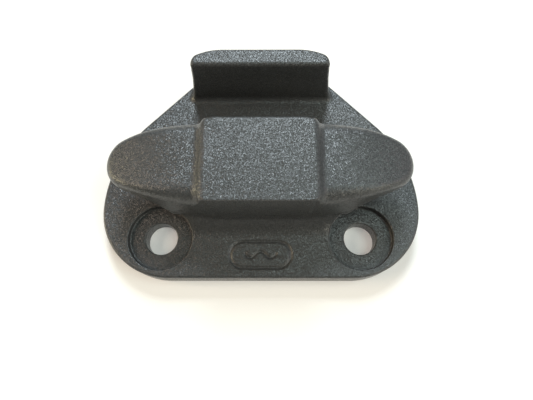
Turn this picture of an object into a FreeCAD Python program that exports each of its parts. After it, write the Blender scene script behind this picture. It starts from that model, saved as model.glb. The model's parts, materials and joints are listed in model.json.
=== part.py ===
import FreeCAD, Part
import math
import os

# Horn cleat with an upright rope stop, moulded in one material.
# Millimetres. Origin: midpoint between the two screw holes, on the back face of the plate.
# +X runs along the horns, +Y towards the rope stop, +Z out of the mounting surface.

Vec = FreeCAD.Vector
UP = Vec(0, 0, 1)

# ---- base plate ----
PLATE_WIDTH = 64.0
PLATE_THICKNESS = 5.0
PLATE_NORTH_Y = 35.6
WIDEST_Y = 6.0                 # level at which the plate reaches its full width
SOUTH_CORNER_R = 14.0          # also sets the south edge, at WIDEST_Y - SOUTH_CORNER_R
SHOULDER_R = 26.0
NORTH_CORNER_R = 2.0
PLATE_EDGE_R = 0.5

# ---- screw holes ----
HOLE_SPACING = 40.0
HOLE_R = 3.2
SCREW_SEAT_R = 6.4
SCREW_SEAT_DEPTH = 1.3
SCREW_HEAD_HEIGHT = 4.2        # kept clear above the seat
RIM_BREAK = 0.2

# ---- central pillar and the foot that spreads into the plate ----
PILLAR_HALF_WIDTH = 9.6
PILLAR_SOUTH_Y = 3.45
PILLAR_NORTH_Y = 19.3
PILLAR_TOP_Z = 20.0
PILLAR_CORNER_R = 1.0
PILLAR_TOP_EDGE_R = 0.4
FOOT_BLEND_R = 4.5
FOOT_HALF_WIDTH = 14.0         # the foot runs on under the arms, set back a little
FOOT_CORNER_R = 2.0

# ---- arms: each is a horn on a web that leans out from the foot ----
ARM_CENTRE_Y = 11.75
ARM_ROOT_HALF_DEPTH = 7.45
ARM_PLAN_R = 44.0              # long side curve seen from above
ARM_TIP_R = 4.8
ARM_TOP_Z = 18.8
ARM_SHOULDER_X = 12.0          # foot of the step down from the crown
ARM_FALL_R = 44.0              # long fall of the top surface
ARM_UNDERSIDE_Z = 13.0
ARM_THROAT_X = 24.3            # the underside starts to turn down here
ARM_THROAT_R = 5.0
ARM_WEB_SLOPE = 50.0           # degrees above the plate
ARM_TOP_EDGE_R = 1.4
ARM_LOWER_EDGE_R = 0.8
ARM_OVERLAP = 1.6              # how far an arm runs on into the pillar

# ---- rope stop ----
STOP_FOOT_SOUTH_Y = 30.6
STOP_SOUTH_Y = 31.0
STOP_NORTH_Y = 34.2
STOP_TOP_Z = 18.6
STOP_FOOT_HALF_WIDTH = 13.9
STOP_NECK_HALF_WIDTH = 13.3
STOP_BOW_R = 12.0              # the back bends forward towards each end
STOP_BOW_TURN = 26.0           # degrees that it has turned where the corner begins
STOP_NORTH_CORNER_R = 1.1
STOP_SOUTH_CORNER_R = 0.6
STOP_FOOT_BLEND_R = 0.8
LIP_Z = 16.4
LIP_OVERHANG = 0.3
LIP_TOP_R = 0.85
LIP_LOWER_R = 0.3

# ---- moulded pockets in the back, which keep the walls even ----
POCKET_COLUMNS = 3
POCKET_ROWS = 2
POCKET_WALL = 2.3
POCKET_RIB = 1.6
POCKET_CEILING_Z = 17.2
POCKET_CORNER_R = 0.8

# ---- plain decorative groove between the screw holes ----
BADGE_CENTRE_Y = -3.4
BADGE_HALF_LENGTH = 6.0
BADGE_HALF_HEIGHT = 2.6
BADGE_LINE = 0.4
BADGE_DEPTH = 0.3
BADGE_WAVE_HALF_PITCH = 2.0
BADGE_WAVE_RISE = 0.7

MARGIN = 10.0                  # how far cutting boxes stand clear of the part


def arc(centre, radius, start_deg, end_deg):
    """Arc edge in the XY plane, drawn from start to end by way of the middle angle."""
    def at(deg):
        turn = math.radians(deg)
        return centre + Vec(radius * math.cos(turn), radius * math.sin(turn), 0)
    return Part.Arc(at(start_deg), at((start_deg + end_deg) / 2.0), at(end_deg)).toShape()


def chain(edges):
    """Closed wire through arcs in order, with straight runs in the gaps between them."""
    joined = []
    for index, edge in enumerate(edges):
        joined.append(edge)
        here = edge.lastVertex(True).Point
        following = edges[(index + 1) % len(edges)].firstVertex(True).Point
        if here.distanceToPoint(following) > 1e-6:
            joined.append(Part.LineSegment(here, following).toShape())
    return Part.Wire(joined)


def prism(wire, direction):
    """Solid made by pushing a closed flat wire along a vector."""
    return Part.Face(wire).extrude(direction)


def mirror_x(shape):
    return shape.mirror(Vec(0, 0, 0), Vec(1, 0, 0))


def slab(low, high):
    """Box between two opposite corners."""
    size = high - low
    return Part.makeBox(size.x, size.y, size.z, low)


def rounded_rectangle(x_half, y_low, y_high, z, south_r, north_r):
    """Closed wire round a rectangle that is centred on x = 0."""
    return chain([
        arc(Vec(x_half - south_r, y_low + south_r, z), south_r, -90, 0),
        arc(Vec(x_half - north_r, y_high - north_r, z), north_r, 0, 90),
        arc(Vec(-x_half + north_r, y_high - north_r, z), north_r, 90, 180),
        arc(Vec(-x_half + south_r, y_low + south_r, z), south_r, 180, 270),
    ])


def edges_where(shape, test):
    """Edges whose every sample point passes a test."""
    found = []
    for edge in shape.Edges:
        if not edge.Degenerated and all(test(point) for point in edge.discretize(5)):
            found.append(edge)
    return found


def at_height(z):
    return lambda point: abs(point.z - z) < 1e-4


def make_plate():
    """Flat plate: straight south edge, wide round shoulders, 45 degree flanks, short north edge."""
    half = PLATE_WIDTH / 2.0
    flank_sum = half - SHOULDER_R + WIDEST_Y + SHOULDER_R * math.sqrt(2)
    north_corner_x = flank_sum - PLATE_NORTH_Y
    set_back = NORTH_CORNER_R * math.tan(math.radians(22.5))
    right = [
        arc(Vec(half - SOUTH_CORNER_R, WIDEST_Y, 0), SOUTH_CORNER_R, -90, 0),
        arc(Vec(half - SHOULDER_R, WIDEST_Y, 0), SHOULDER_R, 0, 45),
        arc(Vec(north_corner_x - set_back, PLATE_NORTH_Y - NORTH_CORNER_R, 0), NORTH_CORNER_R, 45, 90),
    ]
    left = [
        arc(Vec(set_back - north_corner_x, PLATE_NORTH_Y - NORTH_CORNER_R, 0), NORTH_CORNER_R, 90, 135),
        arc(Vec(SHOULDER_R - half, WIDEST_Y, 0), SHOULDER_R, 135, 180),
        arc(Vec(SOUTH_CORNER_R - half, WIDEST_Y, 0), SOUTH_CORNER_R, 180, 270),
    ]
    plate = prism(chain(right + left), UP * PLATE_THICKNESS)
    return plate.makeFillet(PLATE_EDGE_R, edges_where(plate, at_height(PLATE_THICKNESS)))


def make_pillar():
    """Upright block from the plate to the crown, with its top edge softened."""
    outline = rounded_rectangle(PILLAR_HALF_WIDTH, PILLAR_SOUTH_Y, PILLAR_NORTH_Y, 0,
                                PILLAR_CORNER_R, PILLAR_CORNER_R)
    pillar = prism(outline, UP * PILLAR_TOP_Z)
    return pillar.makeFillet(PILLAR_TOP_EDGE_R, edges_where(pillar, at_height(PILLAR_TOP_Z)))


def make_foot():
    """Low block under the arms, no taller than its blend into the plate."""
    south_y = ARM_CENTRE_Y - ARM_ROOT_HALF_DEPTH
    north_y = ARM_CENTRE_Y + ARM_ROOT_HALF_DEPTH
    outline = rounded_rectangle(FOOT_HALF_WIDTH, south_y, north_y, 0, FOOT_CORNER_R, FOOT_CORNER_R)
    return prism(outline, UP * (PLATE_THICKNESS + FOOT_BLEND_R + PILLAR_TOP_EDGE_R))


def blend_into_plate(plate, block, radius, low_y, high_y, half_width):
    """Plate and block joined, with a fillet of one radius all round the block's foot."""
    body = plate.fuse(block).removeSplitter()
    foot = [edge for edge in edges_where(body, at_height(PLATE_THICKNESS))
            if abs(edge.CenterOfMass.x) < half_width + 0.1
            and low_y - 0.1 < edge.CenterOfMass.y < high_y + 0.1]
    return body.makeFillet(radius, foot)


def arm_side_profile():
    """Right arm in XZ: step down from the crown, long fall, flat underside, throat, leaning web."""
    step_run = ARM_SHOULDER_X - PILLAR_HALF_WIDTH
    step_drop = PILLAR_TOP_Z - ARM_TOP_Z
    step_r = (step_run ** 2 + step_drop ** 2) / (4.0 * step_drop)
    step_half_turn = math.asin(step_run / 2.0 / step_r) / 2.0
    inner_x = PILLAR_HALF_WIDTH - ARM_OVERLAP
    end_x = PLATE_WIDTH / 2.0
    web_turn = math.radians(ARM_WEB_SLOPE)
    throat_z = ARM_UNDERSIDE_Z - ARM_THROAT_R
    foot_z = PLATE_THICKNESS / 2.0

    def point(x, z):
        return Vec(x, 0, z)

    def along(centre_x, centre_z, radius, turn):
        return point(centre_x + radius * math.sin(turn), centre_z + radius * math.cos(turn))

    crown_edge = point(PILLAR_HALF_WIDTH, PILLAR_TOP_Z)
    step_upper_middle = along(PILLAR_HALF_WIDTH, PILLAR_TOP_Z - step_r, step_r, step_half_turn)
    step_middle = point(PILLAR_HALF_WIDTH + step_run / 2.0, PILLAR_TOP_Z - step_drop / 2.0)
    step_lower_middle = along(ARM_SHOULDER_X, ARM_TOP_Z + step_r, -step_r, step_half_turn)
    shoulder = point(ARM_SHOULDER_X, ARM_TOP_Z)
    fall_turn = math.asin((end_x - ARM_SHOULDER_X) / ARM_FALL_R)
    fall_centre_z = ARM_TOP_Z - ARM_FALL_R
    fall_middle = along(ARM_SHOULDER_X, fall_centre_z, ARM_FALL_R, fall_turn / 2.0)
    fall_end = along(ARM_SHOULDER_X, fall_centre_z, ARM_FALL_R, fall_turn)
    throat_start = point(ARM_THROAT_X, ARM_UNDERSIDE_Z)
    throat_middle = along(ARM_THROAT_X, throat_z, ARM_THROAT_R, -web_turn / 2.0)
    throat_end = along(ARM_THROAT_X, throat_z, ARM_THROAT_R, -web_turn)
    web_foot = point(throat_end.x - (throat_end.z - foot_z) / math.tan(web_turn), foot_z)
    corners = [web_foot, point(inner_x, foot_z), point(inner_x, PILLAR_TOP_Z), crown_edge]
    edges = [Part.LineSegment(a, b).toShape() for a, b in zip(corners, corners[1:])]
    edges += [
        Part.Arc(crown_edge, step_upper_middle, step_middle).toShape(),
        Part.Arc(step_middle, step_lower_middle, shoulder).toShape(),
        Part.Arc(shoulder, fall_middle, fall_end).toShape(),
        Part.LineSegment(fall_end, point(end_x, ARM_UNDERSIDE_Z)).toShape(),
        Part.LineSegment(point(end_x, ARM_UNDERSIDE_Z), throat_start).toShape(),
        Part.Arc(throat_start, throat_middle, throat_end).toShape(),
        Part.LineSegment(throat_end, web_foot).toShape(),
    ]
    return Part.Wire(edges)


def arm_plan():
    """Right arm seen from above: two long curves that draw in to a round tip."""
    centre_drop = ARM_PLAN_R - ARM_ROOT_HALF_DEPTH
    start_x = PILLAR_HALF_WIDTH
    tip_x = start_x + math.sqrt((ARM_PLAN_R - ARM_TIP_R) ** 2 - centre_drop ** 2)
    side_end = math.degrees(math.atan2(centre_drop, tip_x - start_x))
    inner_x = start_x - ARM_OVERLAP
    north_centre = Vec(start_x, ARM_CENTRE_Y + ARM_ROOT_HALF_DEPTH - ARM_PLAN_R, 0)
    south_centre = Vec(start_x, ARM_CENTRE_Y - ARM_ROOT_HALF_DEPTH + ARM_PLAN_R, 0)
    inner_end = Part.LineSegment(Vec(inner_x, ARM_CENTRE_Y + ARM_ROOT_HALF_DEPTH, 0),
                                 Vec(inner_x, ARM_CENTRE_Y - ARM_ROOT_HALF_DEPTH, 0)).toShape()
    return chain([
        inner_end,
        arc(south_centre, ARM_PLAN_R, -90, -side_end),
        arc(Vec(tip_x, ARM_CENTRE_Y, 0), ARM_TIP_R, -side_end, side_end),
        arc(north_centre, ARM_PLAN_R, side_end, 90),
    ])


def facing(face):
    """Outward normal at the middle of a face."""
    u_low, u_high, v_low, v_high = face.ParameterRange
    return face.normalAt((u_low + u_high) / 2.0, (v_low + v_high) / 2.0)


def edges_between(shape, first_test, second_test):
    """Edges that a face passing the first test shares with a face passing the second."""
    first = [edge for face in shape.Faces if first_test(facing(face)) for edge in face.Edges]
    second = [edge for face in shape.Faces if second_test(facing(face)) for edge in face.Edges]
    return [edge for edge in first if any(edge.isSame(other) for other in second)]


def make_right_arm():
    """Arm as the side profile cut to its plan, with every outer edge rounded."""
    def is_wall(normal):
        return normal.x > 0.999 or (abs(normal.z) < 1e-6 and abs(normal.y) > 1e-3)

    def is_roof(normal):
        return abs(normal.y) < 1e-6 and normal.z > 0.1

    def is_underside(normal):
        return abs(normal.y) < 1e-6 and normal.z < -0.1

    bar = prism(arm_side_profile(), Vec(0, PLATE_WIDTH, 0))
    arm = bar.common(prism(arm_plan(), UP * (PILLAR_TOP_Z + MARGIN)))
    arm = arm.makeFillet(ARM_TOP_EDGE_R, edges_between(arm, is_wall, is_roof))
    lower = [edge for edge in edges_between(arm, is_wall, is_underside)
             if edge.CenterOfMass.z > PLATE_THICKNESS]
    return arm.makeFillet(ARM_LOWER_EDGE_R, lower)


def stop_outline(half_width, south_y, south_r, z):
    """Rope stop seen from above: straight front, back bowed forward towards both ends."""
    turn = math.radians(STOP_BOW_TURN)
    bow_x = half_width - STOP_NORTH_CORNER_R - (STOP_BOW_R - STOP_NORTH_CORNER_R) * math.sin(turn)
    corner_y = (STOP_NORTH_Y - STOP_BOW_R * (1 - math.cos(turn))
                - STOP_NORTH_CORNER_R * math.cos(turn))
    corner_x = half_width - STOP_NORTH_CORNER_R
    south_x = half_width - south_r
    bow_y = STOP_NORTH_Y - STOP_BOW_R
    return chain([
        arc(Vec(south_x, south_y + south_r, z), south_r, -90, 0),
        arc(Vec(corner_x, corner_y, z), STOP_NORTH_CORNER_R, 0, 90 - STOP_BOW_TURN),
        arc(Vec(bow_x, bow_y, z), STOP_BOW_R, 90 - STOP_BOW_TURN, 90),
        arc(Vec(-bow_x, bow_y, z), STOP_BOW_R, 90, 90 + STOP_BOW_TURN),
        arc(Vec(-corner_x, corner_y, z), STOP_NORTH_CORNER_R, 90 + STOP_BOW_TURN, 180),
        arc(Vec(-south_x, south_y + south_r, z), south_r, 180, 270),
    ])


def make_rope_stop():
    """Upright tab across the north end: drafted sides and a thin overhanging lip."""
    foot = stop_outline(STOP_FOOT_HALF_WIDTH, STOP_FOOT_SOUTH_Y, STOP_SOUTH_CORNER_R, PLATE_THICKNESS)
    neck = stop_outline(STOP_NECK_HALF_WIDTH, STOP_SOUTH_Y, STOP_SOUTH_CORNER_R, LIP_Z + LIP_LOWER_R)
    tab = Part.makeLoft([foot, neck], True, True)
    lip_outline = stop_outline(STOP_NECK_HALF_WIDTH + LIP_OVERHANG, STOP_SOUTH_Y - LIP_OVERHANG,
                               STOP_SOUTH_CORNER_R + LIP_OVERHANG, LIP_Z)
    lip = prism(lip_outline, UP * (STOP_TOP_Z - LIP_Z))
    lip = lip.makeFillet(LIP_TOP_R, edges_where(lip, at_height(STOP_TOP_Z)))
    lip = lip.makeFillet(LIP_LOWER_R, edges_where(lip, at_height(LIP_Z)))
    return tab.fuse(lip).removeSplitter()


def screw_cutters():
    """Through holes and flat screw-head seats."""
    cutters = []
    for side in (-1, 1):
        centre = Vec(side * HOLE_SPACING / 2.0, 0, 0)
        cutters.append(Part.makeCylinder(HOLE_R, PLATE_THICKNESS + MARGIN, centre - UP * MARGIN / 2.0))
        seat = centre + UP * (PLATE_THICKNESS - SCREW_SEAT_DEPTH)
        cutters.append(Part.makeCylinder(SCREW_SEAT_R, SCREW_HEAD_HEIGHT, seat))
    return cutters


def pocket_cutters():
    """Square pockets that run up inside the pillar from the back face."""
    width = 2 * (PILLAR_HALF_WIDTH - POCKET_WALL)
    depth = PILLAR_NORTH_Y - PILLAR_SOUTH_Y - 2 * POCKET_WALL
    cell_x = (width - POCKET_RIB * (POCKET_COLUMNS - 1)) / POCKET_COLUMNS
    cell_y = (depth - POCKET_RIB * (POCKET_ROWS - 1)) / POCKET_ROWS
    cutters = []
    for column in range(POCKET_COLUMNS):
        for row in range(POCKET_ROWS):
            low_x = -width / 2.0 + column * (cell_x + POCKET_RIB)
            low_y = PILLAR_SOUTH_Y + POCKET_WALL + row * (cell_y + POCKET_RIB)
            outline = rounded_rectangle(cell_x / 2.0, low_y, low_y + cell_y, -MARGIN,
                                        POCKET_CORNER_R, POCKET_CORNER_R)
            outline.translate(Vec(low_x + cell_x / 2.0, 0, 0))
            cutters.append(prism(outline, UP * (MARGIN + POCKET_CEILING_Z)))
    return cutters


def badge_cutters():
    """Shallow stadium-shaped groove round one wavy line."""
    floor_z = PLATE_THICKNESS - BADGE_DEPTH

    def stadium(half_height):
        straight = BADGE_HALF_LENGTH - BADGE_HALF_HEIGHT
        return chain([
            arc(Vec(straight, BADGE_CENTRE_Y, floor_z), half_height, -90, 90),
            arc(Vec(-straight, BADGE_CENTRE_Y, floor_z), half_height, 90, 270),
        ])

    def wave(offset_y):
        half_pitch = BADGE_WAVE_HALF_PITCH
        base_y = BADGE_CENTRE_Y + offset_y
        edges = []
        for step, side in ((-1, -1), (0, 1), (1, -1)):
            start = Vec((step - 0.5) * half_pitch, base_y, floor_z)
            middle = Vec(step * half_pitch, base_y + side * BADGE_WAVE_RISE, floor_z)
            end = Vec((step + 0.5) * half_pitch, base_y, floor_z)
            edges.append(Part.Arc(start, middle, end).toShape())
        return edges

    groove = UP * (BADGE_DEPTH + 0.5)
    ring = prism(stadium(BADGE_HALF_HEIGHT), groove)
    ring = ring.cut(prism(stadium(BADGE_HALF_HEIGHT - BADGE_LINE), groove))
    lower = wave(-BADGE_LINE / 2.0)
    upper = wave(BADGE_LINE / 2.0)
    ends = [
        Part.LineSegment(lower[-1].lastVertex(True).Point, upper[-1].lastVertex(True).Point).toShape(),
        Part.LineSegment(upper[0].firstVertex(True).Point, lower[0].firstVertex(True).Point).toShape(),
    ]
    outline = Part.Wire(Part.__sortEdges__(lower + upper + ends))
    return [ring, prism(outline, groove)]


def make_moulding():
    """Plate, pillar, arms and rope stop as one body, with its holes and pockets."""
    foot_y = (ARM_CENTRE_Y - ARM_ROOT_HALF_DEPTH, ARM_CENTRE_Y + ARM_ROOT_HALF_DEPTH)
    plate = make_plate()
    body = blend_into_plate(plate, make_pillar(), FOOT_BLEND_R,
                            PILLAR_SOUTH_Y, PILLAR_NORTH_Y, PILLAR_HALF_WIDTH)
    wide = blend_into_plate(plate, make_foot(), FOOT_BLEND_R, foot_y[0], foot_y[1], FOOT_HALF_WIDTH)
    stop = blend_into_plate(plate, make_rope_stop(), STOP_FOOT_BLEND_R,
                            STOP_FOOT_SOUTH_Y, STOP_NORTH_Y, STOP_FOOT_HALF_WIDTH)
    arm = make_right_arm()
    body = body.fuse([wide, stop, arm, mirror_x(arm)])
    body = body.cut(screw_cutters())
    rims = [edge for edge in body.Edges
            if isinstance(edge.Curve, Part.Circle)
            and abs(edge.Curve.Radius - HOLE_R) < 1e-6
            and edge.CenterOfMass.z > RIM_BREAK]
    body = body.makeFillet(RIM_BREAK, rims)
    body = body.cut(badge_cutters())
    return body.cut(pocket_cutters())


def make_parts():
    """The moulding divided at its natural boundaries into named solids."""
    moulding = make_moulding()
    far = PLATE_WIDTH
    top_z = PILLAR_TOP_Z + MARGIN
    arm_z = ARM_UNDERSIDE_Z - ARM_THROAT_R * (1 - math.cos(math.radians(ARM_WEB_SLOPE)))
    stop_edge_y = (PILLAR_NORTH_Y + FOOT_BLEND_R + STOP_FOOT_SOUTH_Y) / 2.0
    zones = {
        "base_plate": (Vec(-far, -far, -MARGIN), Vec(far, far, PLATE_THICKNESS)),
        "pedestal": (Vec(-far, -far, PLATE_THICKNESS), Vec(far, stop_edge_y, arm_z)),
        "crown_block": (Vec(-PILLAR_HALF_WIDTH, -far, arm_z), Vec(PILLAR_HALF_WIDTH, stop_edge_y, top_z)),
        "left_horn": (Vec(-far, -far, arm_z), Vec(-PILLAR_HALF_WIDTH, stop_edge_y, top_z)),
        "right_horn": (Vec(PILLAR_HALF_WIDTH, -far, arm_z), Vec(far, stop_edge_y, top_z)),
        "rope_stop": (Vec(-far, stop_edge_y, PLATE_THICKNESS), Vec(far, far, top_z)),
    }
    return {name: moulding.common(slab(low, high)) for name, (low, high) in zones.items()}


if __name__ == "__main__":
    os.makedirs("parts", exist_ok=True)
    for name, shape in make_parts().items():
        print(name, "solids:", len(shape.Solids), "valid:", shape.isValid(), "mm3:", round(shape.Volume, 1))
        shape.exportStep("parts/" + name + ".step")
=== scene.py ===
import json
import math

import bmesh
import bpy
import numpy as np
from mathutils import Matrix, Vector


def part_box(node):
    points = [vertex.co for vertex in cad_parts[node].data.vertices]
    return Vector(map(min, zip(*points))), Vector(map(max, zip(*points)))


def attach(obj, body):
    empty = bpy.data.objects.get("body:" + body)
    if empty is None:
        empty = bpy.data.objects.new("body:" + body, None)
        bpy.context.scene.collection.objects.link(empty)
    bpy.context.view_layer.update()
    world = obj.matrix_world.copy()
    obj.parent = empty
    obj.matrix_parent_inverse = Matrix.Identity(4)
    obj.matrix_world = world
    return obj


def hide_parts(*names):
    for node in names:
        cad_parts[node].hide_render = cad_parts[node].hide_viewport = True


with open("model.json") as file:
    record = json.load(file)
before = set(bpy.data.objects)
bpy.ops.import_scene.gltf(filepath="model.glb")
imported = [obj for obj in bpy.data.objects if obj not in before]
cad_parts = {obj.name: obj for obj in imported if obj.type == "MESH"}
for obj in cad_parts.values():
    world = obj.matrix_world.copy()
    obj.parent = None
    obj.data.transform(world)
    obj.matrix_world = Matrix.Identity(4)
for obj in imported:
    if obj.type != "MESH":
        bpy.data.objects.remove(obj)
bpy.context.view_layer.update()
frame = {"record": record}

MM = 0.001
EAST, NORTH, UP = (1, 0, 0), (0, 1, 0), (0, 0, 1)
WEST, SOUTH, DOWN = (-1, 0, 0), (0, -1, 0), (0, 0, -1)

# ---- view: from above and a little south of the plate ----
CAMERA_PLACE = Vector((1.80, -18.53, 94.91)) * MM
CAMERA_RIGHT = Vector((1.0000, 0.0013, -0.0066))
CAMERA_BACK = Vector((0.0067, -0.2809, 0.9597))
CAMERA_LENS = 31.07
SENSOR_WIDTH = 36.0
CLIP_RANGE = (0.001, 10.0)

# ---- studio: places in metres, powers in watts ----
# A cool window beyond the rope stop gives the sheen. Weak lamps and the glowing paper fill the walls.
# The wall is what a low view sees past the floor. It gives no light.
LIGHT_TARGET = Vector((0.0, 10.0, 10.0)) * MM
ROOM_STRENGTH = 0.07
WALL_STRENGTH = 0.95
FLOOR_SIZE = 3.0
FLOOR_GAP = 0.0001
PAPER_COLOUR = (0.70, 0.68, 0.65, 1.0)
PAPER_GLOW = 0.37
PAPER_ROUGHNESS = 0.9
LIGHTS = (
    # name, place, width and height, watts, colour
    ("north_window", (0.0, 0.46, 0.48), (0.16, 0.24), 3.9, (0.80, 0.91, 0.97)),
    ("west_lamp", (-0.46, 0.01, 0.47), (0.3, 0.3), 1.6, (1.0, 0.80, 0.64)),
    ("low_west_lamp", (-0.64, 0.01, 0.15), (0.24, 0.24), 1.7, (1.0, 0.87, 0.55)),
    ("east_skylight", (0.27, 0.01, 0.60), (0.3, 0.3), 1.5, (0.76, 0.93, 0.88)),
    ("east_lamp", (0.56, 0.01, 0.34), (0.3, 0.3), 0.6, (1.0, 0.85, 0.9)),
    ("south_east_lamp", (0.43, -0.35, 0.34), (0.3, 0.3), 1.5, (1.0, 0.95, 0.78)),
)

# ---- nylon: scales in features per metre ----
FACET_SCALE = 7600.0
FACET_TILT = 0.21
GRAIN_SCALE = 4200.0
GRAIN_STRENGTH = 1.0
GRAIN_DEPTH = 0.00003
PAINTED_SHADE_AND_GLINT_SPAN = (0.35, 0.7)       # noise values where the painted shade in the pits is darkest and the painted glints on the peaks are lightest
MOTTLE_SCALE = 400.0
MOTTLE_SPAN = (0.3, 0.7)
ROUGHNESS = (0.28, 0.36)
# base colour: painted shade, darker in the grain's pits, and painted glints, lighter on its peaks
PIT_PAINTED_SHADE_COLOUR = (0.030, 0.031, 0.032, 1.0)
PEAK_PAINTED_GLINT_COLOUR = (0.066, 0.068, 0.069, 1.0)

# ---- places read from the CAD frame, in millimetres ----
PLATE_LOW, PLATE_HIGH = (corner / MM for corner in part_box("base_plate"))
CROWN_LOW, CROWN_HIGH = (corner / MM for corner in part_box("crown_block"))
HORN_LOW, HORN_HIGH = (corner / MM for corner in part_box("right_horn"))
STOP_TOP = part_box("rope_stop")[1].z / MM
HOLES = next(mount for mount in frame["record"]["mounts"] if mount["name"] == "screw_holes")

PLATE_TOP = PLATE_HIGH.z
PLATE_HALF = PLATE_HIGH.x
HOLE_X = HOLES["dims"]["spacing_x_mm"] / 2
HOLE_R = HOLES["dims"]["hole_r_mm"]
CROWN_Y = (CROWN_LOW.y + CROWN_HIGH.y) / 2
ARM_Y = (HORN_LOW.y + HORN_HIGH.y) / 2
ARM_HALF_DEPTH = (HORN_HIGH.y - HORN_LOW.y) / 2

# ---- plate ----
WIDEST_Y = 6.0                 # where the round corners meet the shoulders
SOUTH_CORNER_R = 14.0
SHOULDER_R = 26.0
NORTH_CORNER_R = 2.0
PLATE_EDGE_R = 0.5
BACK_EDGE_R = 0.2
SEAT_R = 2 * HOLE_R
SEAT_DEPTH = 1.3
SEAT_Z = PLATE_TOP - SEAT_DEPTH
HEAD_ROOM = 4.2                # kept clear above the seat for a screw head
SEAT_FLOOR_R = 0.25
RIM_R = 0.22                   # broken edge of every opening

# ---- crown and arms ----
CROWN_CORNER_R = (0.35, 1.5)   # south and north corners, seen from above
CROWN_EDGE_R = (0.25, 1.1)     # top edge, south and north
STEP_DROP = 1.2
STEP_RUN = 2.4
STEP_CORNER_R = 0.4
MERGE_Z = (7.5, 12.0)          # the web's side leaves the crown's wall between these heights
FOOT_R = 4.5
WEB_FOOT_R = 1.8               # the foot's blend gets smaller under the web
WEB_FOOT_X = (12.5, 17.5)
ARM_PLAN_R = 44.0
ARM_TIP_R = 4.8
ARM_FALL_R = 44.0
ARM_FALL_MOST = 0.9            # keeps the falling arc from turning upright past the tip
ARM_UNDERSIDE_Z = 13.0
THROAT_X = 24.3
THROAT_R = 5.0
WEB_SLOPE = math.radians(50.0)
ARM_EDGE_R = (3.0, 1.25)       # top edge at the root and at the tip
ARM_LOWER_R = 0.9

# ---- rope stop ----
STOP_FOOT_SOUTH = 30.6
STOP_FOOT_HALF = 14.6
STOP_NECK_HALF = 13.25
STOP_NECK_SOUTH = 30.8
STOP_NORTH = 34.15
STOP_BOW_R = 12.0
STOP_BOW_TURN = math.radians(27.0)
STOP_NORTH_R = 1.1
STOP_SOUTH_R = 0.5
STOP_TOP_R = 0.8
STOP_FOOT_R = 1.2
LIP_OUT = (0.1, 0.4)           # overhang at the sides and on the south face
LIP_Z = (12.5, 17.0)           # the lip grows out of the neck between these heights

# ---- pockets in the back ----
POCKET_COLUMNS = 3
POCKET_ROWS = 2
POCKET_WALL = 2.3
POCKET_RIB = 1.6
POCKET_CEILING = 17.2
POCKET_R = 0.8

# ---- plain groove between the holes ----
BADGE_Y = -3.4
BADGE_HALF = (6.0, 2.6)
BADGE_END_R = 2.59
BADGE_LINE = (0.0, 0.48)       # distances from the line: full depth, and the plain plate
BADGE_DEPTH = 0.25
WAVE_PITCH = 4.0
WAVE_RISE = 0.6
WAVE_HALF_RUN = 3.0

# ---- mesh ----
CELL = 0.38
FINE_CELL = 0.19
FINE_X = ((-27.0, -13.0), (-10.4, -8.2), (-6.6, 6.6), (8.2, 10.4), (13.0, 27.0))
FINE_Y = ((-8.6, 6.8), (18.4, 19.8), (29.4, 35.8))
FINE_Z = ((-0.2, 0.4), (3.3, 5.6), (16.0, 20.2))
SLOPE_STEP = 0.01              # how far either side the field is sampled for its slope
LEAST_SLOPE = 0.5
SETTLE_TURNS = 6
EVENING_TURNS = 3
EVENING_SHARE = 0.5
TINY = 1e-9
SEAM_LIFT = 0.05               # height of the cut above the plate's flat top
CUT_TOLERANCE = 1e-5


def union(a, b, radius):
    """Two distance fields joined, with a fillet where they meet."""
    return (np.maximum(radius, np.minimum(a, b))
            - np.hypot(np.maximum(radius - a, 0), np.maximum(radius - b, 0)))


def meet(a, b, radius):
    """What two distance fields share, with its edge rounded."""
    return (np.minimum(-radius, np.maximum(a, b))
            + np.hypot(np.maximum(radius + a, 0), np.maximum(radius + b, 0)))


def ramp(value, low, high):
    """0 below low, 1 above high, smooth between."""
    t = np.clip((value - low) / (high - low), 0, 1)
    return t * t * (3 - 2 * t)


def blend(ends, share):
    """Between the first and second of two values."""
    return ends[0] + (ends[1] - ends[0]) * share


def rounded_box(x, y, half_x, half_y, radius):
    """Distance to a rectangle with round corners, centred on the origin."""
    across = np.abs(x) - half_x + radius
    along = np.abs(y) - half_y + radius
    outside = np.hypot(np.maximum(across, 0), np.maximum(along, 0))
    return outside + np.minimum(np.maximum(across, along), 0) - radius


def plate_outline(x, y):
    """Round south corners, wide shoulders, 45 degree flanks and a short north edge."""
    x = np.abs(x)
    south_x = x - (PLATE_HALF - SOUTH_CORNER_R)
    south_y = WIDEST_Y - y
    lower_depth = WIDEST_Y - PLATE_LOW.y
    lower = np.where(
        (south_x > 0) & (south_y > lower_depth - SOUTH_CORNER_R),
        np.hypot(south_x, south_y - lower_depth + SOUTH_CORNER_R) - SOUTH_CORNER_R,
        np.maximum(south_x - SOUTH_CORNER_R, south_y - lower_depth),
    )
    out_x = x - (PLATE_HALF - SHOULDER_R)
    out_y = y - WIDEST_Y
    flank = np.where(out_y > out_x, (out_x + out_y) / math.sqrt(2) - SHOULDER_R,
                     np.hypot(out_x, out_y) - SHOULDER_R)
    upper = meet(flank, y - PLATE_HIGH.y, NORTH_CORNER_R)
    return np.where(y < WIDEST_Y, lower, upper)


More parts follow.
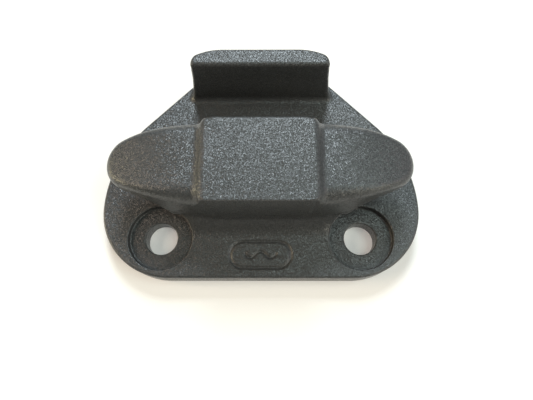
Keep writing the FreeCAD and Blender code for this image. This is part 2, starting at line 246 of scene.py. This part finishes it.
def arm_outline(x, y, z):
    """An arm seen from above. Its south side swells out to the crown's wall at the root."""
    fade = np.minimum(ramp(x, CROWN_HIGH.x, HORN_HIGH.x), ramp(z, *MERGE_Z))
    swell = np.where(y < ARM_Y, (ARM_Y - ARM_HALF_DEPTH - CROWN_LOW.y) * (1 - fade), 0)
    away = np.abs(y - ARM_Y)
    start = CROWN_HIGH.x
    drop = ARM_PLAN_R - ARM_HALF_DEPTH
    reach = ARM_PLAN_R - ARM_TIP_R
    tip_x = start + math.sqrt(reach ** 2 - drop ** 2)
    out = x - start
    on_side = (away + drop) * (tip_x - start) > out * drop
    side = np.where(out > 0, np.hypot(out, away + drop) - ARM_PLAN_R, away - ARM_HALF_DEPTH)
    tip = np.hypot(x - tip_x, away) - ARM_TIP_R
    return np.where(on_side, side, tip) - swell


def roof(x):
    """Height of the top surface and its slope: flat crown, step down, long fall to the tips."""
    run = x - CROWN_HIGH.x
    step_r = (STEP_RUN ** 2 + STEP_DROP ** 2) / (4 * STEP_DROP)
    near = np.clip(run, 0, STEP_RUN / 2)
    far = np.clip(STEP_RUN - run, 0, STEP_RUN / 2)
    fall = np.clip(run - STEP_RUN, 0, ARM_FALL_R * ARM_FALL_MOST)
    top = CROWN_HIGH.z
    upper = top - step_r + np.sqrt(step_r ** 2 - near ** 2)
    lower = top - STEP_DROP + step_r - np.sqrt(step_r ** 2 - far ** 2)
    long = top - STEP_DROP - ARM_FALL_R + np.sqrt(ARM_FALL_R ** 2 - fall ** 2)
    height = np.where(run < STEP_RUN / 2, upper, np.where(run < STEP_RUN, lower, long))
    slope = np.where(run < STEP_RUN / 2, near / np.sqrt(step_r ** 2 - near ** 2),
                     np.where(run < STEP_RUN, far / np.sqrt(step_r ** 2 - far ** 2),
                              fall / np.sqrt(ARM_FALL_R ** 2 - fall ** 2)))
    return height, slope


def underside(x):
    """Height of the arm's lower surface and its slope: flat at the tip, throat, leaning web."""
    bend = THROAT_R * math.sin(WEB_SLOPE)
    inward = np.clip(THROAT_X - x, 0, bend)
    arc = ARM_UNDERSIDE_Z - THROAT_R + np.sqrt(THROAT_R ** 2 - inward ** 2)
    height = arc - np.maximum(THROAT_X - x - bend, 0) * math.tan(WEB_SLOPE)
    return height, inward / np.sqrt(THROAT_R ** 2 - inward ** 2)


def head(x, y, z):
    """Pillar, crown and the arm on the +X side."""
    corner_r = np.where(y < CROWN_Y, *CROWN_CORNER_R)
    crown = rounded_box(x, y - CROWN_Y, CROWN_HIGH.x, (CROWN_HIGH.y - CROWN_LOW.y) / 2, corner_r)
    arms = arm_outline(x, y, z)
    outline = union(crown, arms, STEP_CORNER_R)
    height, slope = roof(x)
    top = (z - height) / np.sqrt(1 + slope ** 2)
    edge_r = blend(CROWN_EDGE_R, ramp(y, CROWN_Y, CROWN_HIGH.y - CROWN_EDGE_R[1]))
    edge_r = blend((edge_r, ARM_EDGE_R[0]), ramp(x, CROWN_HIGH.x, CROWN_HIGH.x + STEP_RUN))
    edge_r = blend((edge_r, ARM_EDGE_R[1]), ramp(x, CROWN_HIGH.x + STEP_RUN, THROAT_X))
    body = meet(outline, top, edge_r)
    low, low_slope = underside(x)
    return meet(body, (low - z) / np.sqrt(1 + low_slope ** 2), ARM_LOWER_R)


def rope_stop(x, y, z):
    """Upright tab with drafted sides, a bowed back and a soft overhanging lip."""
    rise = np.clip((z - PLATE_TOP) / (LIP_Z[1] - PLATE_TOP), 0, 1)
    lip = ramp(z, *LIP_Z)
    half = blend((STOP_FOOT_HALF, STOP_NECK_HALF), rise) + LIP_OUT[0] * lip
    south = blend((STOP_FOOT_SOUTH, STOP_NECK_SOUTH), rise) - LIP_OUT[1] * lip
    bow_x = half - STOP_NORTH_R - (STOP_BOW_R - STOP_NORTH_R) * math.sin(STOP_BOW_TURN)
    back = np.where(x > bow_x, np.hypot(x - bow_x, y - STOP_NORTH + STOP_BOW_R) - STOP_BOW_R,
                    y - STOP_NORTH)
    outline = meet(meet(x - half, back, STOP_NORTH_R), south - y, STOP_SOUTH_R)
    return meet(outline, z - STOP_TOP, STOP_TOP_R)


def pockets(x, y, z):
    """Square blind pockets under the crown."""
    width = 2 * (CROWN_HIGH.x - POCKET_WALL)
    depth = CROWN_HIGH.y - CROWN_LOW.y - 2 * POCKET_WALL
    cell_x = (width - POCKET_RIB * (POCKET_COLUMNS - 1)) / POCKET_COLUMNS
    cell_y = (depth - POCKET_RIB * (POCKET_ROWS - 1)) / POCKET_ROWS
    away_x = x - (cell_x + POCKET_RIB) * np.round(x / (cell_x + POCKET_RIB))
    away_y = np.abs(y - CROWN_Y) - (cell_y + POCKET_RIB) / 2
    limit = rounded_box(x, y - CROWN_Y, width / 2, depth / 2, POCKET_R)
    cell = np.maximum(rounded_box(away_x, away_y, cell_x / 2, cell_y / 2, POCKET_R), limit)
    return meet(cell, z - POCKET_CEILING, POCKET_R)


def badge(x, y):
    """How far a stadium-shaped groove and the wavy line inside it sink the plate's top."""
    ring = np.abs(rounded_box(x, y - BADGE_Y, *BADGE_HALF, BADGE_END_R))
    phase = 2 * math.pi * x / WAVE_PITCH
    wave = np.abs(y - BADGE_Y - WAVE_RISE * np.cos(phase))
    wave = wave / np.hypot(1, WAVE_RISE * 2 * math.pi / WAVE_PITCH * np.sin(phase))
    wave = np.hypot(wave, np.maximum(np.abs(x) - WAVE_HALF_RUN, 0))
    return BADGE_DEPTH * (1 - ramp(np.minimum(ring, wave), *BADGE_LINE))


def moulding(x, y, z):
    """Distance field of the whole fitting, in millimetres: negative inside."""
    x_side = np.abs(x)
    plate = meet(plate_outline(x_side, y), z - PLATE_TOP + badge(x, y), PLATE_EDGE_R)
    foot_r = blend((FOOT_R, WEB_FOOT_R), ramp(x_side, *WEB_FOOT_X))
    body = union(plate, head(x_side, y, z), foot_r)
    body = union(body, rope_stop(x_side, y, z), STOP_FOOT_R)
    body = meet(body, -z, BACK_EDGE_R)
    across = np.hypot(x_side - HOLE_X, y)
    seat = meet(across - SEAT_R, SEAT_Z - z, SEAT_FLOOR_R)
    seat = meet(seat, z - (SEAT_Z + HEAD_ROOM), SEAT_FLOOR_R)
    body = meet(body, -seat, RIM_R)
    body = meet(body, HOLE_R - across, RIM_R)
    return meet(body, -pockets(x, y, z), RIM_R)


def grid_lines(low, high, fine):
    """Grid coordinates along one axis, closer together in the stretches listed in fine."""
    lines = [low]
    while lines[-1] < high:
        here = lines[-1]
        dense = any(start <= here < end for start, end in fine)
        lines.append(here + (FINE_CELL if dense else CELL))
    return np.array(lines)


def sample(xs, ys, zs):
    """The field on the whole grid, worked out one layer at a time."""
    field = np.empty((len(xs), len(ys), len(zs)), np.float32)
    x, y = np.meshgrid(xs, ys, indexing="ij")
    for layer, z in enumerate(zs):
        field[:, :, layer] = moulding(x, y, np.full_like(x, z))
    return field


def gradient(points):
    """Slope of the field at each point, which faces outward."""
    rows = []
    for axis in range(3):
        ahead = points.copy()
        behind = points.copy()
        ahead[:, axis] += SLOPE_STEP
        behind[:, axis] -= SLOPE_STEP
        rows.append(moulding(*ahead.T) - moulding(*behind.T))
    return np.stack(rows, 1) / (2 * SLOPE_STEP)


def unit(vectors):
    """Each row at length one. A zero row stays zero."""
    return vectors / np.maximum(np.linalg.norm(vectors, axis=1, keepdims=True), TINY)


def surface(xs, ys, zs):
    """Quads round the zero level of the field, with one vertex in each cell that it crosses."""
    field = sample(xs, ys, zs)
    inside = field < 0
    corner_count = np.zeros(tuple(n - 1 for n in field.shape), np.int8)
    offsets = [(i, j, k) for i in (0, 1) for j in (0, 1) for k in (0, 1)]
    for i, j, k in offsets:
        corner_count += inside[i:i + corner_count.shape[0], j:j + corner_count.shape[1],
                               k:k + corner_count.shape[2]]
    active = (corner_count > 0) & (corner_count < 8)
    number = np.full(active.shape, -1, np.int32)
    number[active] = np.arange(active.sum())
    cells = np.argwhere(active)
    total = np.zeros((len(cells), 3))
    count = np.zeros(len(cells))
    axes = (xs, ys, zs)
    for axis in range(3):
        for offset in offsets:
            if offset[axis]:
                continue
            start = cells + offset
            end = start.copy()
            end[:, axis] += 1
            a = field[tuple(start.T)]
            b = field[tuple(end.T)]
            crossed = (a < 0) != (b < 0)
            share = np.where(crossed, a / np.where(crossed, a - b, 1), 0)
            place = np.stack([axes[n][start[:, n]] for n in range(3)], 1)
            place[:, axis] += share * (axes[axis][end[:, axis]] - axes[axis][start[:, axis]])
            total[crossed] += place[crossed]
            count[crossed] += 1
    points = total / count[:, None]
    quads = []
    for axis in range(3):
        first = inside[tuple(slice(0, -1) if n == axis else slice(1, -1) for n in range(3))]
        second = inside[tuple(slice(1, None) if n == axis else slice(1, -1) for n in range(3))]
        edges = np.argwhere(first != second)
        outward = first[tuple(edges.T)]
        u, v = [n for n in range(3) if n != axis]
        ring = []
        for du, dv in ((0, 0), (1, 0), (1, 1), (0, 1)):
            cell = edges.copy()
            cell[:, u] += du
            cell[:, v] += dv
            ring.append(number[tuple(cell.T)])
        quad = np.stack(ring, 1)
        flip = outward if axis == 1 else ~outward
        quad[flip] = quad[flip][:, ::-1]
        quads.append(quad)
    return points, np.concatenate(quads)


def settle(points, quads):
    """Evens the spacing along the surface and pulls every vertex onto it."""
    limit = CELL / 2
    edges = np.concatenate([quads[:, [n, (n + 1) % 4]] for n in range(4)])
    weight = np.bincount(edges[:, 0], minlength=len(points)).astype(float)
    for turn in range(SETTLE_TURNS):
        slope = gradient(points)
        size = np.maximum((slope ** 2).sum(1), LEAST_SLOPE ** 2)
        move = -(moulding(*points.T) / size)[:, None] * slope
        length = np.linalg.norm(move, axis=1, keepdims=True)
        points = points + move * np.minimum(1, limit / np.maximum(length, TINY))
        if turn < EVENING_TURNS:
            mean = np.stack([np.bincount(edges[:, 0], points[edges[:, 1], n], len(points))
                             for n in range(3)], 1) / weight[:, None]
            normal = unit(slope)
            drift = mean - points
            drift -= (drift * normal).sum(1, keepdims=True) * normal
            points = points + EVENING_SHARE * drift
    return points


def fitting_mesh():
    """The whole fitting as one closed mesh of quads, in millimetres."""
    margin = 2 * CELL
    low = PLATE_LOW - Vector((margin, margin, margin))
    high = Vector((PLATE_HIGH.x, PLATE_HIGH.y, CROWN_HIGH.z)) + Vector((margin, margin, margin))
    xs = grid_lines(low.x, high.x, FINE_X)
    ys = grid_lines(low.y, high.y, FINE_Y)
    zs = grid_lines(low.z, high.z, FINE_Z)
    points, quads = surface(xs, ys, zs)
    return settle(points, quads), quads


def cut(bm, place, outward):
    """Keeps the part of a closed mesh behind a plane and closes the cut with flat faces."""
    everything = bm.verts[:] + bm.edges[:] + bm.faces[:]
    result = bmesh.ops.bisect_plane(bm, geom=everything, dist=CUT_TOLERANCE, plane_co=place,
                                    plane_no=outward, clear_outer=True)
    rim = [item for item in result["geom_cut"] if isinstance(item, bmesh.types.BMEdge)]
    filled = bmesh.ops.triangle_fill(bm, edges=rim, use_beauty=True, normal=outward)
    for item in filled["geom"]:
        if isinstance(item, bmesh.types.BMFace):
            item.smooth = False
            if item.normal.dot(Vector(outward)) < 0:
                item.normal_flip()


def add_piece(node, whole, planes, material):
    """One named part of the moulding: the whole mesh cut back to its own zone.

    Its skin is shaded by the field's slope, so the cuts don't show. The cut faces stay flat.
    """
    bm = bmesh.new()
    bm.from_mesh(whole)
    for place, outward in planes:
        cut(bm, place, outward)
    mesh = bpy.data.meshes.new(node + "_moulded")
    bm.to_mesh(mesh)
    bm.free()
    points = np.empty(len(mesh.vertices) * 3)
    mesh.vertices.foreach_get("co", points)
    points = points.reshape(-1, 3)
    corners = np.empty(len(mesh.loops), int)
    mesh.loops.foreach_get("vertex_index", corners)
    smooth = np.empty(len(mesh.polygons), bool)
    mesh.polygons.foreach_get("use_smooth", smooth)
    sizes = np.empty(len(mesh.polygons), int)
    mesh.polygons.foreach_get("loop_total", sizes)
    normals = unit(gradient(points))[corners]
    corner_normals = np.where(np.repeat(smooth, sizes)[:, None], normals, 0)
    mesh.vertices.foreach_set("co", (points * MM).ravel())
    mesh.normals_split_custom_set(corner_normals)
    mesh.materials.append(material)
    piece = bpy.data.objects.new(node + "_moulded", mesh)
    bpy.context.scene.collection.objects.link(piece)
    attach(piece, "root")
    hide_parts(node)


def build_fitting(material):
    """The fitting's six pieces, which meet face to face."""
    points, quads = fitting_mesh()
    whole = bpy.data.meshes.new("whole_fitting")
    whole.from_pydata(points.tolist(), [], quads.tolist())
    whole.polygons.foreach_set("use_smooth", np.ones(len(quads), bool))
    seam_z = PLATE_TOP + SEAM_LIFT
    arm_z = CROWN_LOW.z
    seam_y = (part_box("pedestal")[1].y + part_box("rope_stop")[0].y) / 2 / MM
    side_x = CROWN_HIGH.x
    plate_top = ((0, 0, seam_z), UP)
    above_plate = ((0, 0, seam_z), DOWN)
    below_arms = ((0, 0, arm_z), UP)
    above_web = ((0, 0, arm_z), DOWN)
    before_stop = ((0, seam_y, 0), NORTH)
    after_stop = ((0, seam_y, 0), SOUTH)
    zones = {
        "base_plate": [plate_top],
        "pedestal": [above_plate, below_arms, before_stop],
        "crown_block": [above_web, before_stop, ((side_x, 0, 0), EAST), ((-side_x, 0, 0), WEST)],
        "right_horn": [above_web, before_stop, ((side_x, 0, 0), WEST)],
        "left_horn": [above_web, before_stop, ((-side_x, 0, 0), EAST)],
        "rope_stop": [above_plate, after_stop],
    }
    for node, planes in zones.items():
        add_piece(node, whole, planes, material)
    bpy.data.meshes.remove(whole)


def make_camera():
    """The one camera, with its up direction square to the other two."""
    data = bpy.data.cameras.new("view_camera")
    data.lens = CAMERA_LENS
    data.sensor_width = SENSOR_WIDTH
    data.clip_start, data.clip_end = CLIP_RANGE
    camera = bpy.data.objects.new("view_camera", data)
    bpy.context.scene.collection.objects.link(camera)
    back = CAMERA_BACK.normalized()
    up = back.cross(CAMERA_RIGHT).normalized()
    right = up.cross(back)
    turn = Matrix((right, up, back)).transposed().to_4x4()
    camera.matrix_world = Matrix.Translation(CAMERA_PLACE) @ turn
    bpy.context.scene.camera = camera


def make_light(name, place, size, power, colour):
    """A rectangular soft light turned towards the middle of the fitting."""
    data = bpy.data.lights.new(name, "AREA")
    data.shape = "RECTANGLE"
    data.size, data.size_y = size
    data.energy = power
    data.color = colour
    light = bpy.data.objects.new(name, data)
    light.location = place
    light.rotation_euler = (LIGHT_TARGET - Vector(place)).to_track_quat("-Z", "Y").to_euler()
    light.visible_camera = False
    bpy.context.scene.collection.objects.link(light)


def choose(tree, factor, first, second, output):
    """Gives the output the first shader where the factor is 0 and the second where it is 1."""
    mix = tree.nodes.new("ShaderNodeMixShader")
    tree.links.new(factor, mix.inputs[0])
    tree.links.new(first.outputs[0], mix.inputs[1])
    tree.links.new(second.outputs[0], mix.inputs[2])
    tree.links.new(mix.outputs[0], tree.nodes[output].inputs["Surface"])


def make_world():
    """A dim room whose far wall still looks pale where a low view sees past the floor."""
    world = bpy.data.worlds.new("studio")
    world.use_nodes = True
    tree = world.node_tree
    room = tree.nodes["Background"]
    wall = tree.nodes.new("ShaderNodeBackground")
    for shader, strength in ((room, ROOM_STRENGTH), (wall, WALL_STRENGTH)):
        shader.inputs["Color"].default_value = (1.0, 1.0, 1.0, 1.0)
        shader.inputs["Strength"].default_value = strength
    rays = tree.nodes.new("ShaderNodeLightPath")
    choose(tree, rays.outputs["Is Camera Ray"], room, wall, "World Output")
    bpy.context.scene.world = world


def make_floor():
    """A sheet of glowing paper under the fitting, clear from below to leave its back in view."""
    mesh = bpy.data.meshes.new("floor")
    half = FLOOR_SIZE / 2
    corners = [(-half, -half), (half, -half), (half, half), (-half, half)]
    mesh.from_pydata([(x, y, -FLOOR_GAP) for x, y in corners], [], [(0, 1, 2, 3)])
    floor = bpy.data.objects.new("floor", mesh)
    bpy.context.scene.collection.objects.link(floor)
    paper = bpy.data.materials.new("paper")
    paper.use_nodes = True
    tree = paper.node_tree
    shader = tree.nodes["Principled BSDF"]
    shader.inputs["Base Color"].default_value = PAPER_COLOUR
    shader.inputs["Roughness"].default_value = PAPER_ROUGHNESS
    shader.inputs["Emission Color"].default_value = PAPER_COLOUR
    shader.inputs["Emission Strength"].default_value = PAPER_GLOW
    side = tree.nodes.new("ShaderNodeNewGeometry")
    clear = tree.nodes.new("ShaderNodeBsdfTransparent")
    choose(tree, side.outputs["Backfacing"], shader, clear, "Material Output")
    mesh.materials.append(paper)


def texture(tree, kind, scale, **settings):
    """A 3-D texture node in object space."""
    node = tree.nodes.new(kind)
    node.inputs["Scale"].default_value = scale
    for name, value in settings.items():
        node.inputs[name].default_value = value
    place = tree.nodes.new("ShaderNodeTexCoord")
    tree.links.new(place.outputs["Object"], node.inputs["Vector"])
    return node


def vector_math(tree, operation, first, second=None):
    """Result of a vector operation on a socket and, where it takes one, a socket or a constant."""
    node = tree.nodes.new("ShaderNodeVectorMath")
    node.operation = operation
    tree.links.new(first, node.inputs[0])
    if isinstance(second, tuple):
        node.inputs[1].default_value = second
    elif second is not None:
        tree.links.new(second, node.inputs[1])
    return node.outputs["Vector"]


def remap(tree, value, source, target):
    """Stretches a value from one range to another, clamped at both ends."""
    node = tree.nodes.new("ShaderNodeMapRange")
    tree.links.new(value, node.inputs["Value"])
    node.inputs["From Min"].default_value, node.inputs["From Max"].default_value = source
    node.inputs["To Min"].default_value, node.inputs["To Max"].default_value = target
    return node.outputs["Result"]


def nylon_with_painted_shade_and_glints():
    """Black moulded nylon: a fine spark-eroded grain whose facets glint, a faint mottle, and a base
    colour with painted shade in the grain's pits and painted glints on its peaks.
    """
    material = bpy.data.materials.new("nylon_with_painted_shade_and_glints")
    material.use_nodes = True
    tree = material.node_tree
    link = tree.links.new
    shader = tree.nodes["Principled BSDF"]
    facets = texture(tree, "ShaderNodeTexVoronoi", FACET_SCALE, Randomness=1.0)
    tilt = vector_math(tree, "SUBTRACT", facets.outputs["Color"], (0.5, 0.5, 0.5))
    tilt = vector_math(tree, "MULTIPLY", tilt, (2 * FACET_TILT,) * 3)
    surface_normal = tree.nodes.new("ShaderNodeNewGeometry").outputs["Normal"]
    facet_normal = vector_math(tree, "NORMALIZE", vector_math(tree, "ADD", surface_normal, tilt))
    grain = texture(tree, "ShaderNodeTexNoise", GRAIN_SCALE, Detail=2.0, Roughness=0.65)
    bump = tree.nodes.new("ShaderNodeBump")
    bump.inputs["Strength"].default_value = GRAIN_STRENGTH
    bump.inputs["Distance"].default_value = GRAIN_DEPTH
    link(grain.outputs["Fac"], bump.inputs["Height"])
    link(facet_normal, bump.inputs["Normal"])
    link(bump.outputs["Normal"], shader.inputs["Normal"])
    mottle = texture(tree, "ShaderNodeTexNoise", MOTTLE_SCALE, Detail=4.0, Roughness=0.6)
    link(remap(tree, mottle.outputs["Fac"], MOTTLE_SPAN, ROUGHNESS), shader.inputs["Roughness"])
    # painted shade in the grain's pits and painted glints on its peaks, set as the base colour
    colour = tree.nodes.new("ShaderNodeMix")
    colour.data_type = "RGBA"
    colour.inputs["A"].default_value = PIT_PAINTED_SHADE_COLOUR
    colour.inputs["B"].default_value = PEAK_PAINTED_GLINT_COLOUR
    link(remap(tree, grain.outputs["Fac"], PAINTED_SHADE_AND_GLINT_SPAN, (0.0, 1.0)), colour.inputs["Factor"])
    link(colour.outputs["Result"], shader.inputs["Base Color"])
    return material


bpy.context.scene.view_settings.view_transform = "Standard"
make_camera()
make_world()
make_floor()
for light in LIGHTS:
    make_light(*light)
build_fitting(nylon_with_painted_shade_and_glints())
